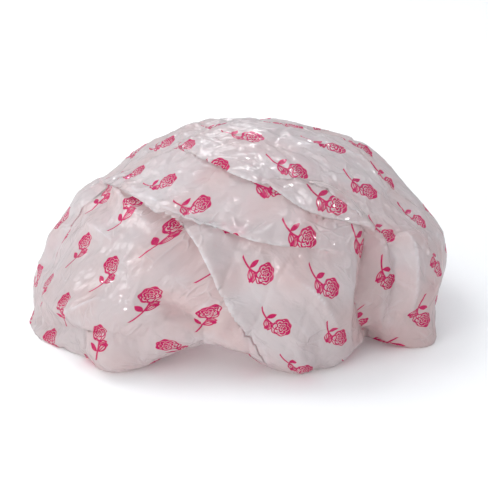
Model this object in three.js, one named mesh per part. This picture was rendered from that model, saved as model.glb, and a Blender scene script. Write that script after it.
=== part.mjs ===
// Shower cap of thin printed film, lying on a table with its opening down.
// The film is one round disc. Its edge is folded inwards into a hem, the hem is closed by a
// lockstitch of two threads, and a lapped elastic band runs loose inside the hem and gathers it.
// Millimetres, +Z up. The front, with the long slanting folds, faces -Y. The origin is under the
// middle of the cap, on the table.
import * as THREE from "three";

// Outer form of the cap as it lies slumped on the table.
const capWidth = 260; // side to side at the belly
const capDepth = 212; // front to back at the belly
const crownHeight = 122; // top of the crown above the table
const bellyHeight = 27; // level where the film bulges widest
const crownLean = 16; // how far the wall half way up leans to the right
const crownFullness = 0.4; // how far the flat of the crown reaches, as a Bezier handle
const bellyFullness = 0.47; // how upright the wall above the belly stands, as a Bezier handle
const heelFullness = 0.6; // how round the film turns under, as a Bezier handle

// Underside, from the belly in to the seam.
const toeInset = 19; // belly to the line that touches the table
const tablePress = 2.6; // how far the toe would sink if the table did not flatten it
const seamWidth = 156; // across the seam, side to side
const seamDepth = 120; // across the seam, front to back
const seamHeight = 11; // seam above the table at the back
const seamFrontHeight = 20; // seam above the table at the front

// Film, hem and gathers.
const filmWall = 0.4; // drawn thicker than the real film, which is about 0.1
const gatherCount = 24; // main puckers round the elastic
const gatherHeight = 2.4; // swing of a pucker to each side at the seam
const hemPuff = 1.6; // extra room in the hem where a pucker stands open
const hemOverlap = 3; // free edge of the film past the seam
const seatGap = 0.3; // clearance between pieces that lie against each other

// Elastic band and its lap.
const bandWidth = 6;
const bandThickness = 1;
const bandSlack = 2.4; // free hem at each edge of the band
const hemTaper = 1.9; // run over which the hem opens out, less than the slack
const lapAngle = 14; // degrees of band that lie double
const lapPlace = 90; // degrees from +X: the lap is at the back
const lapRamp = 8; // degrees over which the upper end climbs

// Sewing thread.
const threadDiameter = 0.5;
const tackPasses = 7; // strokes of the zigzag that holds the lap
const tackLength = 9; // along the band

// Broad pleats in the wall, most of them at the back.
const pleatCount = 19;
const pleatDepths = [[0.35, 0], [0.8, 1.6], [1.3, 3], [1.8, 2.4], [2.4, 0]]; // curve number plus share, depth
const frontPleats = 0.25; // share of the pleats' depth at the front

// The front view that the folds are drawn in: degrees above the table, distance of the eye, and the
// point that it looks at, with that point's height in the view.
const viewElevation = 25;
const viewDistance = 950;
const viewAim = { x: 5.2, z: 43.6, height: 82.9 };

// Lobes round the lower edge. angle is in degrees from +X, spread is the half width in degrees,
// out moves the wall outwards, flare moves only its foot outwards and lift raises the edge.
const lobes = [
  { angle: 231, spread: 10, out: 7, flare: 5, lift: 0 }, // front left foot
  { angle: 262, spread: 18, out: -8, flare: 0, lift: 23 }, // front arch
  { angle: 275, spread: 40, out: -5, flare: 0, lift: 0 }, // flat of the front
  { angle: 286, spread: 10, out: 3, flare: -2, lift: 0 }, // front right bulge
  { angle: 316, spread: 11, out: -9, flare: -5, lift: 10 }, // notch
  { angle: 332, spread: 9, out: 7, flare: 14, lift: 0 }, // right foot
  { angle: 192, spread: 22, out: -8, flare: 22, lift: 0 }, // left end, flared on the table
  { angle: 8, spread: 24, out: -5, flare: 2, lift: 0 }, // right end
  { angle: 62, spread: 16, out: 5, flare: 0, lift: 0 }, // back right foot
  { angle: 98, spread: 13, out: -5, flare: 0, lift: 6 }, // back arch
  { angle: 134, spread: 16, out: 5, flare: 0, lift: 0 }, // back left foot
];
const bellyLift = 0.35; // share of a lift that still shows at the belly
const liftStart = 0.75; // share of the crown curve where the lifts begin to show
const lobeStart = 0.35; // share of the crown curve where the lobes begin to show

// Folds of the slack film. A line is drawn in the front view, x to the right and height up from
// the foot of the cap. A ledge rises over its tread to its line, drops to a hollow below it, and ends
// where the hollow does. A ridge stands out along its line and a valley sinks, over a half width.
const frontLedges = [
  {
    line: [[-80, 127], [-54, 113], [-38, 103], [-23, 97], [-6, 93], [15, 86], [30, 82], [49, 79], [70, 75]],
    height: 10, tread: 17, drop: 5, hollow: 0.45, end: 40,
  },
  {
    line: [[-36, 146], [-23, 139], [2, 127], [19, 120], [26, 114], [38, 106], [53, 99], [82, 90], [101, 83]],
    height: 9, tread: 20, drop: 5, hollow: 0.4, end: 30,
  },
  {
    line: [[18, 126], [44, 124], [59, 118], [72, 109], [82, 99], [96, 88]],
    height: 6, tread: 16, drop: 4, hollow: 0.5, end: 24,
  },
  { line: [[30, 152], [42, 144], [62, 140], [82, 133], [97, 118]], height: 5, tread: 14, drop: 5, hollow: 0.4, end: 18 },
  {
    line: [[-128, 34], [-109, 29], [-90, 28], [-73, 25], [-55, 21]],
    height: -7, tread: 12, drop: 4, hollow: 0.5, end: 20,
  },
];
const frontRidges = [
  { line: [[-86, 124], [-81, 119], [-68, 103], [-52, 84]], height: 4, width: 9 },
  { line: [[-58, 83], [-45, 72], [-29, 55], [-22, 44]], height: 5, width: 12 },
  { line: [[-30, 94], [-16, 76], [-4, 60], [8, 42]], height: 4, width: 14 },
  { line: [[106, 92], [111, 81], [112, 62], [109, 40]], height: 5, width: 12 },
  { line: [[30, 62], [52, 48], [64, 30]], height: 3, width: 10 },
  { line: [[-88, 126], [-70, 113], [-56, 102], [-34, 82], [-23, 64], [-16, 46], [-8, 28]], height: -8, width: 11 },
  { line: [[78, 88], [84, 75], [83, 56], [82, 37], [83, 20]], height: -10, width: 10 },
  { line: [[-62, 52], [-44, 46], [-28, 36], [-16, 26]], height: -5, width: 10 },
];
// The back is seen from behind in the same way, with x to the viewer's right.
const backLedges = [
  {
    line: [[-78, 122], [-48, 112], [-18, 100], [16, 94], [48, 88], [86, 70]],
    height: 9, tread: 18, drop: 5, hollow: 0.45, end: 34,
  },
  { line: [[-16, 142], [16, 134], [44, 122], [70, 108], [92, 92]], height: 7, tread: 18, drop: 5, hollow: 0.45, end: 26 },
];
const backRidges = [
  { line: [[-20, 90], [-2, 70], [8, 44]], height: 4, width: 13 },
  { line: [[-96, 84], [-80, 66], [-70, 40]], height: 4, width: 12 },
  { line: [[84, 74], [90, 54], [88, 30]], height: 4, width: 12 },
  { line: [[-78, 116], [-52, 88], [-36, 62], [-28, 28]], height: -8, width: 11 },
  { line: [[46, 84], [54, 60], [52, 26]], height: -7, width: 10 },
];
const foldEdgeOn = [0.02, 0.3]; // folds fade out where the film turns this far edge on to the view

// Fineness of the facets.
const stepsPerGather = 4;
const crownSteps = 16;
const heelSteps = 4;
const underSteps = 3;
const bandSteps = 120;
const threadSides = 4;
const tackSteps = 6; // for each stroke
const turnSteps = gatherCount * stepsPerGather;

const radians = THREE.MathUtils.degToRad;
const smooth = THREE.MathUtils.smoothstep;
const fullTurn = 2 * Math.PI;

// Smallest difference between two angles in degrees.
function angleBetween(a, b) {
  return Math.abs(THREE.MathUtils.euclideanModulo(a - b + 180, 360) - 180);
}

// Sum of one property of the lobes at an angle in degrees.
function lobeSum(angle, property) {
  const share = (lobe) => lobe[property] * Math.exp(-((angleBetween(angle, lobe.angle) / lobe.spread) ** 2));
  return lobes.reduce((sum, lobe) => sum + share(lobe), 0);
}

// Point of a cubic Bezier curve given as four [radius, height] pairs.
function bezier(points, t) {
  const weights = [(1 - t) ** 3, 3 * t * (1 - t) ** 2, 3 * t * t * (1 - t), t ** 3];
  return [0, 1].map((axis) => points.reduce((sum, point, k) => sum + weights[k] * point[axis], 0));
}

const mix = THREE.MathUtils.lerp;

// The three curves of a meridian: crown, heel and underside, for one half width of belly and seam.
function meridianCurves(belly, seam) {
  const toe = belly - toeInset;
  const toeHeight = -tablePress;
  const third = (toe - seam) / 3;
  return [
    [
      [0, crownHeight],
      [belly * crownFullness, crownHeight],
      [belly, mix(bellyHeight, crownHeight, bellyFullness)],
      [belly, bellyHeight],
    ],
    [
      [belly, bellyHeight],
      [belly, mix(bellyHeight, toeHeight, heelFullness)],
      [mix(toe, belly, heelFullness), toeHeight],
      [toe, toeHeight],
    ],
    [
      [toe, toeHeight],
      [toe - third, toeHeight],
      [seam + third, mix(toeHeight, seamHeight, 1 / 3)],
      [seam, seamHeight],
    ],
  ];
}

// Stations down a meridian: which curve, and how far along it.
const stations = [crownSteps, heelSteps, underSteps].flatMap((count, curve) =>
  Array.from({ length: count }, (_, k) => ({ curve, t: (k + 1) / count })),
);
const toeRow = crownSteps + heelSteps; // row 0 is the top of the crown
const seamRow = stations.length;

const sideCurves = meridianCurves(capWidth / 2, seamWidth / 2);
const endCurves = meridianCurves(capDepth / 2, seamDepth / 2);

// Point of the smooth cap, before folds and gathers, at a station and an angle.
function smoothPoint({ curve, t }, turn) {
  const angle = THREE.MathUtils.radToDeg(turn);
  const [across, height] = bezier(sideCurves[curve], t);
  const [along] = bezier(endCurves[curve], t);
  const lowness = curve === 0 ? smooth(t, lobeStart, 1) : 1;
  const raised = [smooth(t, liftStart, 1) * bellyLift, mix(bellyLift, 1, t), 1 - t][curve];
  const tilted = curve === 2 ? ((seamFrontHeight - seamHeight) * t * (1 - Math.sin(turn))) / 2 : 0;
  const footing = [0, smooth(t, 0, 1), 1][curve] * lobeSum(angle, "flare");
  const out = (lobeSum(angle, "out") * lowness + footing) * (curve === 2 ? 1 - t : 1);
  const lean = curve === 0 ? crownLean * 4 * t * (1 - t) : 0;
  const x = (across + out) * Math.cos(turn) + lean;
  const y = (along + out) * Math.sin(turn);
  return new THREE.Vector3(x, y, height + lobeSum(angle, "lift") * raised + tilted);
}

// Signed distance from a line, positive above it, and how far along the line the nearest point is.
function besideLine(line, x, height) {
  const points = line.map(([px, ph]) => new THREE.Vector2(px, ph));
  const here = new THREE.Vector2(x, height);
  let best = { distance: Infinity, side: 1, along: 0 };
  for (let k = 0; k + 1 < points.length; k++) {
    const step = points[k + 1].clone().sub(points[k]);
    const offset = here.clone().sub(points[k]);
    const t = THREE.MathUtils.clamp(offset.dot(step) / step.lengthSq(), 0, 1);
    const distance = offset.clone().addScaledVector(step, -t).length();
    if (distance < best.distance) {
      best = { distance, side: Math.sign(step.cross(offset)) || 1, along: (k + t) / (points.length - 1) };
    }
  }
  return { v: best.distance * best.side, fade: Math.sqrt(Math.sin(Math.PI * best.along)) };
}

// Height at a place on a line of straight runs through [place, height] corners, level beyond its ends.
function alongCorners(corners, place) {
  const next = corners.findIndex(([at]) => at >= place);
  if (next === -1) return corners[corners.length - 1][1];
  if (next === 0) return corners[0][1];
  const [[from, low], [to, high]] = [corners[next - 1], corners[next]];
  return mix(low, high, (place - from) / (to - from));
}

// How far the folds move the film outwards at a point of one view.
function foldOffset(ledges, ridges, x, height) {
  const stand = ledges.map(({ line, height: rise, tread, drop, hollow, end }) => {
    const { v, fade } = besideLine(line, x, height);
    return fade * alongCorners([[-end, 0], [-drop, -hollow * rise], [0, rise], [tread, 0]], v);
  });
  const bend = ridges.map(({ line, height: rise, width }) => {
    const { v, fade } = besideLine(line, x, height);
    return fade * alongCorners([[0, rise], [width, 0]], Math.abs(v));
  });
  return [...stand, ...bend].reduce((sum, move) => sum + move, 0);
}

const viewTilt = radians(viewElevation);

// Place of a point in the front view, or in the same view from behind where facing is -1.
function inView(point, facing) {
  const rise = point.z - viewAim.z;
  const far = facing * point.y * Math.cos(viewTilt) - rise * Math.sin(viewTilt);
  const near = viewDistance / (viewDistance + far);
  const up = facing * point.y * Math.sin(viewTilt) + rise * Math.cos(viewTilt);
  return [(facing * point.x - viewAim.x) * near + viewAim.x, up * near + viewAim.height];
}

// Moves a point of the crown or heel by the folds of the side that it shows.
function folded(point, normal) {
  const shows = (facing) =>
    smooth(facing * -normal.y * Math.cos(viewTilt) + normal.z * Math.sin(viewTilt), ...foldEdgeOn);
  const front = shows(1) * foldOffset(frontLedges, frontRidges, ...inView(point, 1));
  const back = (1 - shows(1)) * shows(-1) * foldOffset(backLedges, backRidges, ...inView(point, -1));
  return point.clone().addScaledVector(normal, front + back);
}

// Uneven wave of the pleats round the cap, from about -1 to 1.
function pleatWave(turn) {
  const uneven = 2.6 * Math.sin(2 * turn + 1.9) + 1.7 * Math.sin(5 * turn + 0.4) + 0.9 * Math.sin(8 * turn);
  const size = 0.65 + 0.35 * Math.sin(4 * turn + 2.2);
  return size * (1 - 2 * Math.abs(Math.sin((pleatCount * turn + uneven) / 2)) ** 0.8);
}

// Inward move of the film by the pleats.
function pleatOffset({ curve, t }, turn) {
  const back = mix(frontPleats, 1, smooth(Math.sin(turn), -0.8, 0.3));
  return alongCorners(pleatDepths, curve + t) * pleatWave(turn) * back;
}

// Outward normals of a grid of points whose rows run round the cap and whose columns run down it.
function gridNormals(grid) {
  const rows = grid.length;
  return grid.map((row, i) =>
    row.map((_, j) => {
      const round = (k) => (k + turnSteps) % turnSteps;
      const down = grid[Math.min(i + 1, rows - 1)][j].clone().sub(grid[Math.max(i - 1, 0)][j]);
      const across = row[round(j + 1)].clone().sub(row[round(j - 1)]);
      if (across.lengthSq() === 0) return new THREE.Vector3(0, 0, 1);
      return down.cross(across).normalize();
    }),
  );
}

const turns = Array.from({ length: turnSteps }, (_, j) => (j / turnSteps) * fullTurn);

// Middle surface of the film from the crown to the seam, with its folds, before the gathers.
function foldedGrid() {
  const top = turns.map(() => new THREE.Vector3(0, 0, crownHeight));
  const plain = [top, ...stations.map((station) => turns.map((turn) => smoothPoint(station, turn)))];
  const normals = gridNormals(plain);
  return plain.map((row, i) => {
    if (i === 0) return row.map((point, j) => folded(point, normals[0][j]));
    return row.map((point, j) => {
      const moved = i < toeRow ? folded(point, normals[i][j]) : point.clone();
      return moved.addScaledVector(normals[i][j], -pleatOffset(stations[i - 1], turns[j]));
    });
  });
}

const hemWidth = bandWidth + 2 * bandSlack;
const layerGap = filmWall + seatGap; // middle to middle of two layers of film
const bandMiddle = layerGap / 2 + seatGap;
const lapLift = bandThickness + seatGap;
const lapRoom = lapLift + threadDiameter + seatGap; // extra height of the hem over the tacked lap

// Frames round the seam: its point, the way on into the hem and the inner normal at each turn.
function framesOfSeam(grid) {
  const normals = gridNormals(grid)[seamRow];
  return grid[seamRow].map((point, j) => {
    const on = point.clone().sub(grid[seamRow - 1][j]).normalize();
    return { point, on, inner: normals[j].clone().negate() };
  });
}

// Share of the lap that lies at an angle: 1 where the band is double.
function lapShare(turn) {
  const away = angleBetween(THREE.MathUtils.radToDeg(turn), lapPlace);
  return 1 - smooth(away, lapAngle / 2 + lapRamp, lapAngle / 2 + 2 * lapRamp);
}

// Section of the hem at one turn, as [way on, inwards] pairs from the first point past the seam to
// the film's free edge. Puckers stand the outer and the inner layer open in turn.
function hemSection(turn, pucker) {
  const under = bandThickness / 2 + seatGap + filmWall - bandMiddle + (hemPuff * (1 + pucker)) / 2;
  const over = bandMiddle + bandThickness / 2 + seatGap + filmWall + lapRoom * lapShare(turn);
  const inside = over + (hemPuff * (1 - pucker)) / 2;
  const swing = gatherHeight * pucker;
  return [
    [hemTaper, -under],
    [hemWidth - hemTaper, -under],
    [hemWidth, bandMiddle],
    [hemWidth - hemTaper, inside],
    [hemTaper, inside],
    [0, swing + layerGap],
    [-hemOverlap, swing + layerGap],
  ];
}

// Middle surface of the whole film, gathered at the seam and folded into the hem.
function filmGrid(grid, frames) {
  const pucker = (j) => Math.cos(gatherCount * turns[j]);
  const gathered = grid.map((row, i) => {
    const share = smooth(i, crownSteps, seamRow);
    return row.map((point, j) => point.clone().addScaledVector(frames[j].inner, share * gatherHeight * pucker(j)));
  });
  const sections = turns.map((turn, j) => hemSection(turn, pucker(j)));
  const hem = sections[0].map((_, k) =>
    turns.map((_turn, j) => {
      const [on, inwards] = sections[j][k];
      const { point, on: way, inner } = frames[j];
      return point.clone().addScaledVector(way, on).addScaledVector(inner, inwards);
    }),
  );
  return [...gathered, ...hem];
}

// Closed surface through sections that follow one another round a ring, or along a strip with ends.
// The second half of a section runs back along the first, so its facets are cut the other way, and a
// thin wall keeps its thickness.
function sweep(sections, isRing) {
  const positions = [];
  const known = new Map();
  const indexOf = (point) => {
    const key = point.toArray().map(Math.fround).join(" ");
    if (!known.has(key)) known.set(key, positions.push(...point.toArray().map(Math.fround)) / 3 - 1);
    return known.get(key);
  };
  const rows = sections.map((section) => section.map(indexOf));
  const index = [];
  const triangle = (a, b, c) => {
    if (a !== b && b !== c && c !== a) index.push(a, b, c);
  };
  const size = rows[0].length;
  for (let i = 0; i < rows.length - (isRing ? 0 : 1); i++) {
    const next = rows[(i + 1) % rows.length];
    for (let k = 0; k < size; k++) {
      const m = (k + 1) % size;
      const [a, b, c, d] = [rows[i][k], rows[i][m], next[m], next[k]];
      const cutFromFirst = k < size / 2;
      triangle(a, b, cutFromFirst ? c : d);
      triangle(cutFromFirst ? a : b, c, d);
    }
  }
  for (let k = 1; !isRing && k + 1 < size; k++) {
    const last = rows[rows.length - 1];
    triangle(rows[0][0], rows[0][k + 1], rows[0][k]);
    triangle(last[0], last[k], last[k + 1]);
  }
  const geometry = new THREE.BufferGeometry();
  geometry.setAttribute("position", new THREE.Float32BufferAttribute(positions, 3));
  geometry.setIndex(index);
  geometry.computeVertexNormals();
  return geometry;
}

// The film has its wall to both sides of its middle surface, and lies flat where it meets the table.
function filmGeometry(grid) {
  const normals = gridNormals(grid);
  const face = (side, lowest) =>
    grid.map((row, i) =>
      row.map((point, j) => {
        const moved = point.clone().addScaledVector(normals[i][j], (side * filmWall) / 2);
        return moved.setZ(Math.max(moved.z, lowest));
      }),
    );
  const outer = face(1, 0);
  const inner = face(-1, filmWall);
  const section = (j) => [...outer.map((row) => row[j]), ...inner.map((row) => row[j]).reverse()];
  return sweep(turns.map((_, j) => section(j)), true);
}

// Round section of a thread about a point, in the plane of two directions.
function threadSection(middle, first, second) {
  return Array.from({ length: threadSides }, (_, k) => {
    const angle = (k / threadSides) * fullTurn;
    return middle
      .clone()
      .addScaledVector(first, (Math.cos(angle) * threadDiameter) / 2)
      .addScaledVector(second, (Math.sin(angle) * threadDiameter) / 2);
  });
}

// A thread of the seam lies against the face of a row of the film that points out of the hem.
function seamThread(grid, row) {
  const normals = gridNormals(grid);
  const stand = filmWall / 2 + seatGap + threadDiameter / 2;
  const sections = turns.map((_, j) => {
    const normal = normals[row][j];
    const middle = grid[row][j].clone().addScaledVector(normal, stand);
    const along = grid[row][(j + 1) % turnSteps].clone().sub(grid[row][(j + turnSteps - 1) % turnSteps]);
    const across = normal.clone().cross(along).normalize();
    return threadSection(middle, across, normal);
  });
  return sweep(sections, true);
}

// Place on the band at any angle in degrees, between the seam frames on either side.
function bandFrame(frames, angle) {
  const at = (THREE.MathUtils.euclideanModulo(angle, 360) / 360) * turnSteps;
  const j = Math.floor(at);
  const here = frames[j % turnSteps];
  const next = frames[(j + 1) % turnSteps];
  const between = (name) => here[name].clone().lerp(next[name], at - j);
  return { point: between("point"), on: between("on").normalize(), inner: between("inner").normalize() };
}

// How far the band stands off the hem's middle after an angle in degrees: its last end climbs onto
// its first one, and is up before it gets there.
function bandLift(angle) {
  return lapLift * smooth(angle, 360 - 1.5 * lapRamp, 360 - lapRamp / 2);
}

// The band is one strip, a little longer than the ring that it makes.
function bandGeometry(frames) {
  const sections = Array.from({ length: bandSteps + 1 }, (_, i) => {
    const angle = (i / bandSteps) * (360 + lapAngle);
    const { point, on, inner } = bandFrame(frames, lapPlace - lapAngle / 2 + angle);
    const low = bandMiddle - bandThickness / 2 + bandLift(angle);
    const edges = [bandSlack, bandSlack + bandWidth];
    const corner = (k, up) =>
      point.clone().addScaledVector(on, edges[k]).addScaledVector(inner, low + up * bandThickness);
    return [corner(0, 0), corner(1, 0), corner(1, 1), corner(0, 1)];
  });
  return sweep(sections, false);
}

// Zigzag of thread on top of the lap, as a wave across the band.
function tackGeometry(frames) {
  const { point, on, inner } = bandFrame(frames, lapPlace);
  const along = on.clone().cross(inner);
  const top = bandMiddle + bandThickness / 2 + lapLift + seatGap + threadDiameter / 2;
  const reach = bandWidth / 2 - 2 * threadDiameter;
  const steps = tackPasses * tackSteps;
  const sections = Array.from({ length: steps + 1 }, (_, k) => {
    const wave = (k / steps) * tackPasses * Math.PI;
    const middle = point
      .clone()
      .addScaledVector(inner, top)
      .addScaledVector(on, bandSlack + bandWidth / 2 + reach * Math.cos(wave))
      .addScaledVector(along, (k / steps - 0.5) * tackLength);
    const slope = (-Math.sin(wave) * reach * tackPasses * Math.PI) / tackLength;
    const way = along.clone().addScaledVector(on, slope).normalize();
    return threadSection(middle, inner, way.clone().cross(inner));
  });
  return sweep(sections, false);
}

const materials = {
  film: new THREE.MeshStandardMaterial({
    color: 0xd8d0d3,
    roughness: 0.28,
    metalness: 0,
    transparent: true,
    opacity: 0.8,
    side: THREE.DoubleSide,
  }),
  elastic: new THREE.MeshStandardMaterial({ color: 0xeeeae6, roughness: 0.9, metalness: 0 }),
  thread: new THREE.MeshStandardMaterial({ color: 0xf4f0f0, roughness: 0.7, metalness: 0 }),
};

const cap = new THREE.Group();

function addPiece(name, geometry, material) {
  const mesh = new THREE.Mesh(geometry, material);
  mesh.name = name;
  cap.add(mesh);
  return mesh;
}

const baseGrid = foldedGrid();
const seamFrames = framesOfSeam(baseGrid);
const film = filmGrid(baseGrid, seamFrames);
const hemReturnRow = film.length - 2;

const filmMesh = addPiece("printed_film", filmGeometry(film), materials.film);
addPiece("elastic_band", bandGeometry(seamFrames), materials.elastic);
addPiece("elastic_lap_tack", tackGeometry(seamFrames), materials.thread);
addPiece("seam_needle_thread", seamThread(film, seamRow), materials.thread);
addPiece("seam_bobbin_thread", seamThread(film, hemReturnRow), materials.thread);

// The origin is under the middle of the cap.
const box = new THREE.Box3().setFromObject(filmMesh);
const middle = box.getCenter(new THREE.Vector3());
cap.position.set(-middle.x, -middle.y, -box.min.z);

export default cap;
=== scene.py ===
import bpy
import numpy as np
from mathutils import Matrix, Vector


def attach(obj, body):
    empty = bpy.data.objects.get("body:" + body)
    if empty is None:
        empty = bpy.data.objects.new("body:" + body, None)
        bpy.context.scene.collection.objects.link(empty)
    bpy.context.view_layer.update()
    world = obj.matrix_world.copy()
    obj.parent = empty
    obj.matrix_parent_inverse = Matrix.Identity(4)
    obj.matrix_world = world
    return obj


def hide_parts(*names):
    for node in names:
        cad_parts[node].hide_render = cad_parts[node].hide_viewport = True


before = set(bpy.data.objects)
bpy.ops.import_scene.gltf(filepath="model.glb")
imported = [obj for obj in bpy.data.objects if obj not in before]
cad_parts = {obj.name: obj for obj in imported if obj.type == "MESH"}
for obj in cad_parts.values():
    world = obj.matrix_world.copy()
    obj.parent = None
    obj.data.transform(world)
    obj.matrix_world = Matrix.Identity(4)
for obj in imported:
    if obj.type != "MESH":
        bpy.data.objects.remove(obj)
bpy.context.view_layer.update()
mm = 0.001
print("frame loaded:", ", ".join(sorted(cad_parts)))

# How the cap is seen. Folds and outline are given in millimetres on a plane through the cap's
# middle that faces the camera: x to the right, h up from the lowest point of the cap.
view = {
    "elevation": np.radians(25),
    "distance": 950,
    "aim": np.array([5.1, -2.7, 43.6]),  # what the middle of the picture looks at
    "aimHeight": 82.9,  # h of that point
    "pictureWidth": 306.5,  # width of the picture on that plane
    "sensorWidth": 36,
    "clip": (0.05, 20),
}
viewUp = np.array([0, np.sin(view["elevation"]), np.cos(view["elevation"])])
viewAlong = np.array([0, np.cos(view["elevation"]), -np.sin(view["elevation"])])


# Camera on the line of view through the aim, with a lens that makes the picture that wide there.
def addCamera():
    data = bpy.data.cameras.new("camera")
    data.sensor_width = view["sensorWidth"]
    data.lens = data.sensor_width * view["distance"] / view["pictureWidth"]
    data.clip_start, data.clip_end = view["clip"]
    camera = bpy.data.objects.new("camera", data)
    bpy.context.scene.collection.objects.link(camera)
    camera.location = Vector(view["aim"] - viewAlong * view["distance"]) * mm
    camera.rotation_euler = (np.pi / 2 - view["elevation"], 0, 0)
    bpy.context.scene.camera = camera


addCamera()
print("camera placed")


# Where points fall on the view plane: offsets from the aim, divided by their depth.
def onViewPlane(points):
    offset = points - view["aim"]
    near = view["distance"] / (view["distance"] + offset @ viewAlong)
    return offset[:, 0] * near + view["aim"][0], (offset @ viewUp) * near + view["aimHeight"]


# Smooth rise from 0 at low to 1 at high, by the cubic 3 t squared less 2 t cubed.
def smoothstep(low, high, value):
    t = np.clip((value - low) / (high - low), 0, 1)
    return t * t * (3 - 2 * t)


# Outer form: the same slumped dome as the solid, in millimetres.
dome = {
    "width": 260,
    "depth": 212,
    "crownHeight": 122,
    "bellyHeight": 27,
    "crownLean": 16,
    "crownFullness": 0.4,
    "bellyFullness": 0.47,
    "heelFullness": 0.6,
    "toeInset": 19,
    "tablePress": 2.6,
    "seamWidth": 156,
    "seamDepth": 120,
    "seamHeight": 11,
    "seamFrontHeight": 20,
    "bellyLift": 0.35,
    "lobeStart": 0.35,  # where on the crown curve the lobes begin
    "liftStart": 0.75,  # and where the lower edge's lift begins
    "middle": np.array([-1.22, -3.63, 0]),  # from the dome's axis to the frame's origin
    # angle and spread in degrees, then how far the wall, its foot and its lower edge move
    "lobes": [
        (236, 9, 7, 6, 0),
        (263, 17, -8, 0, 23),
        (275, 40, -5, 0, 0),
        (286, 10, 3, -2, 0),
        (316, 11, -9, -5, 10),
        (332, 9, 7, 14, 0),
        (192, 22, -8, 22, 0),
        (8, 24, -5, 2, 0),
        (62, 16, 5, 0, 0),
        (98, 13, -5, 0, 6),
        (134, 16, 5, 0, 0),
    ],
}


# Sum of bell curves round the cap: the wall's, the foot's and the edge's moves at each angle.
def lobeMoves(turn):
    angle, spread, *moves = np.array(dome["lobes"], float).T
    apart = (np.degrees(turn)[..., None] - angle + 180) % 360 - 180
    return np.exp(-((apart / spread) ** 2)) @ np.array(moves).T


# Cubic Bezier curve through its four points, by the Bernstein weights.
def bezier(points, t):
    weights = ((1 - t) ** 3, 3 * t * (1 - t) ** 2, 3 * t * t * (1 - t), t**3)
    return sum(weight[..., None] * point for weight, point in zip(weights, np.array(points, float)))


# Crown, heel and underside as three Bezier curves of radius and height.
def meridianCurves(belly, seam):
    toe, low = belly - dome["toeInset"], -dome["tablePress"]
    top, middle, third = dome["crownHeight"], dome["bellyHeight"], (belly - dome["toeInset"] - seam) / 3
    wall = middle + (top - middle) * dome["bellyFullness"]
    heel = middle + (low - middle) * dome["heelFullness"]
    turnIn = toe + (belly - toe) * dome["heelFullness"]
    rise = low + (dome["seamHeight"] - low) / 3
    return [
        [(0, top), (belly * dome["crownFullness"], top), (belly, wall), (belly, middle)],
        [(belly, middle), (belly, heel), (turnIn, low), (toe, low)],
        [(toe, low), (toe - third, low), (seam + third, rise), (seam, dome["seamHeight"])],
    ]


sideCurves = meridianCurves(dome["width"] / 2, dome["seamWidth"] / 2)
endCurves = meridianCurves(dome["depth"] / 2, dome["seamDepth"] / 2)

# A place down the film is the number of its curve plus the share of it: 0 at the crown, 3 at the seam.
seamPlace = 3.0
steadyPlaces = (0.01, 2.98)  # between these the film has a steady normal


# Share of the film's run from the crown to the seam, turned into a place by the mean meridian's length.
def placeOnCurves(share):
    t = np.linspace(0, 1, 200)
    paths = [(bezier(side, t) + bezier(end, t)) / 2 for side, end in zip(sideCurves, endCurves)]
    path = np.concatenate(paths)
    run = np.concatenate([[0], np.cumsum(np.linalg.norm(np.diff(path, axis=0), axis=1))])
    return np.interp(share * run[-1], run, np.concatenate([t, 1 + t, 2 + t]))


# Point of the smooth dome: an ellipse round each level of the meridian, moved by the lobes.
def smoothDome(place, turn):
    curve = np.minimum(place.astype(int), 2)
    t = place - curve
    side = np.choose(curve[..., None], [bezier(points, t) for points in sideCurves])
    end = np.choose(curve[..., None], [bezier(points, t) for points in endCurves])
    wallMove, footMove, edgeMove = np.moveaxis(lobeMoves(turn), -1, 0)
    reach = np.choose(curve, [smoothstep(dome["lobeStart"], 1, t), np.ones_like(t), 1 - t])
    foot = np.choose(curve, [np.zeros_like(t), smoothstep(0, 1, t), 1 - t])
    belly = dome["bellyLift"]
    crownLift = smoothstep(dome["liftStart"], 1, t) * belly
    lift = np.choose(curve, [crownLift, belly + (1 - belly) * t, 1 - t])
    frontRise = dome["seamFrontHeight"] - dome["seamHeight"]
    tilt = np.where(curve == 2, t, 0) * (1 - np.sin(turn)) / 2 * frontRise
    out = wallMove * reach + footMove * foot
    lean = np.where(curve == 0, dome["crownLean"] * 4 * t * (1 - t), 0)
    x = (side[..., 0] + out) * np.cos(turn) + lean
    y = (end[..., 0] + out) * np.sin(turn)
    return np.stack([x, y, side[..., 1] + edgeMove * lift + tilt], axis=-1) + dome["middle"]


# Outward normal: cross product of a small step down the film and a small step round it.
def domeNormals(place, turn):
    step = 0.02
    below, above = np.minimum(place + step, seamPlace), np.maximum(place - step, 0.001)
    down = smoothDome(below, turn) - smoothDome(above, turn)
    offCrown = np.maximum(place, step)
    across = smoothDome(offCrown, turn + step) - smoothDome(offCrown, turn - step)
    normal = np.cross(down, across)
    return normal / np.maximum(np.linalg.norm(normal, axis=-1, keepdims=True), 1e-9)


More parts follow.
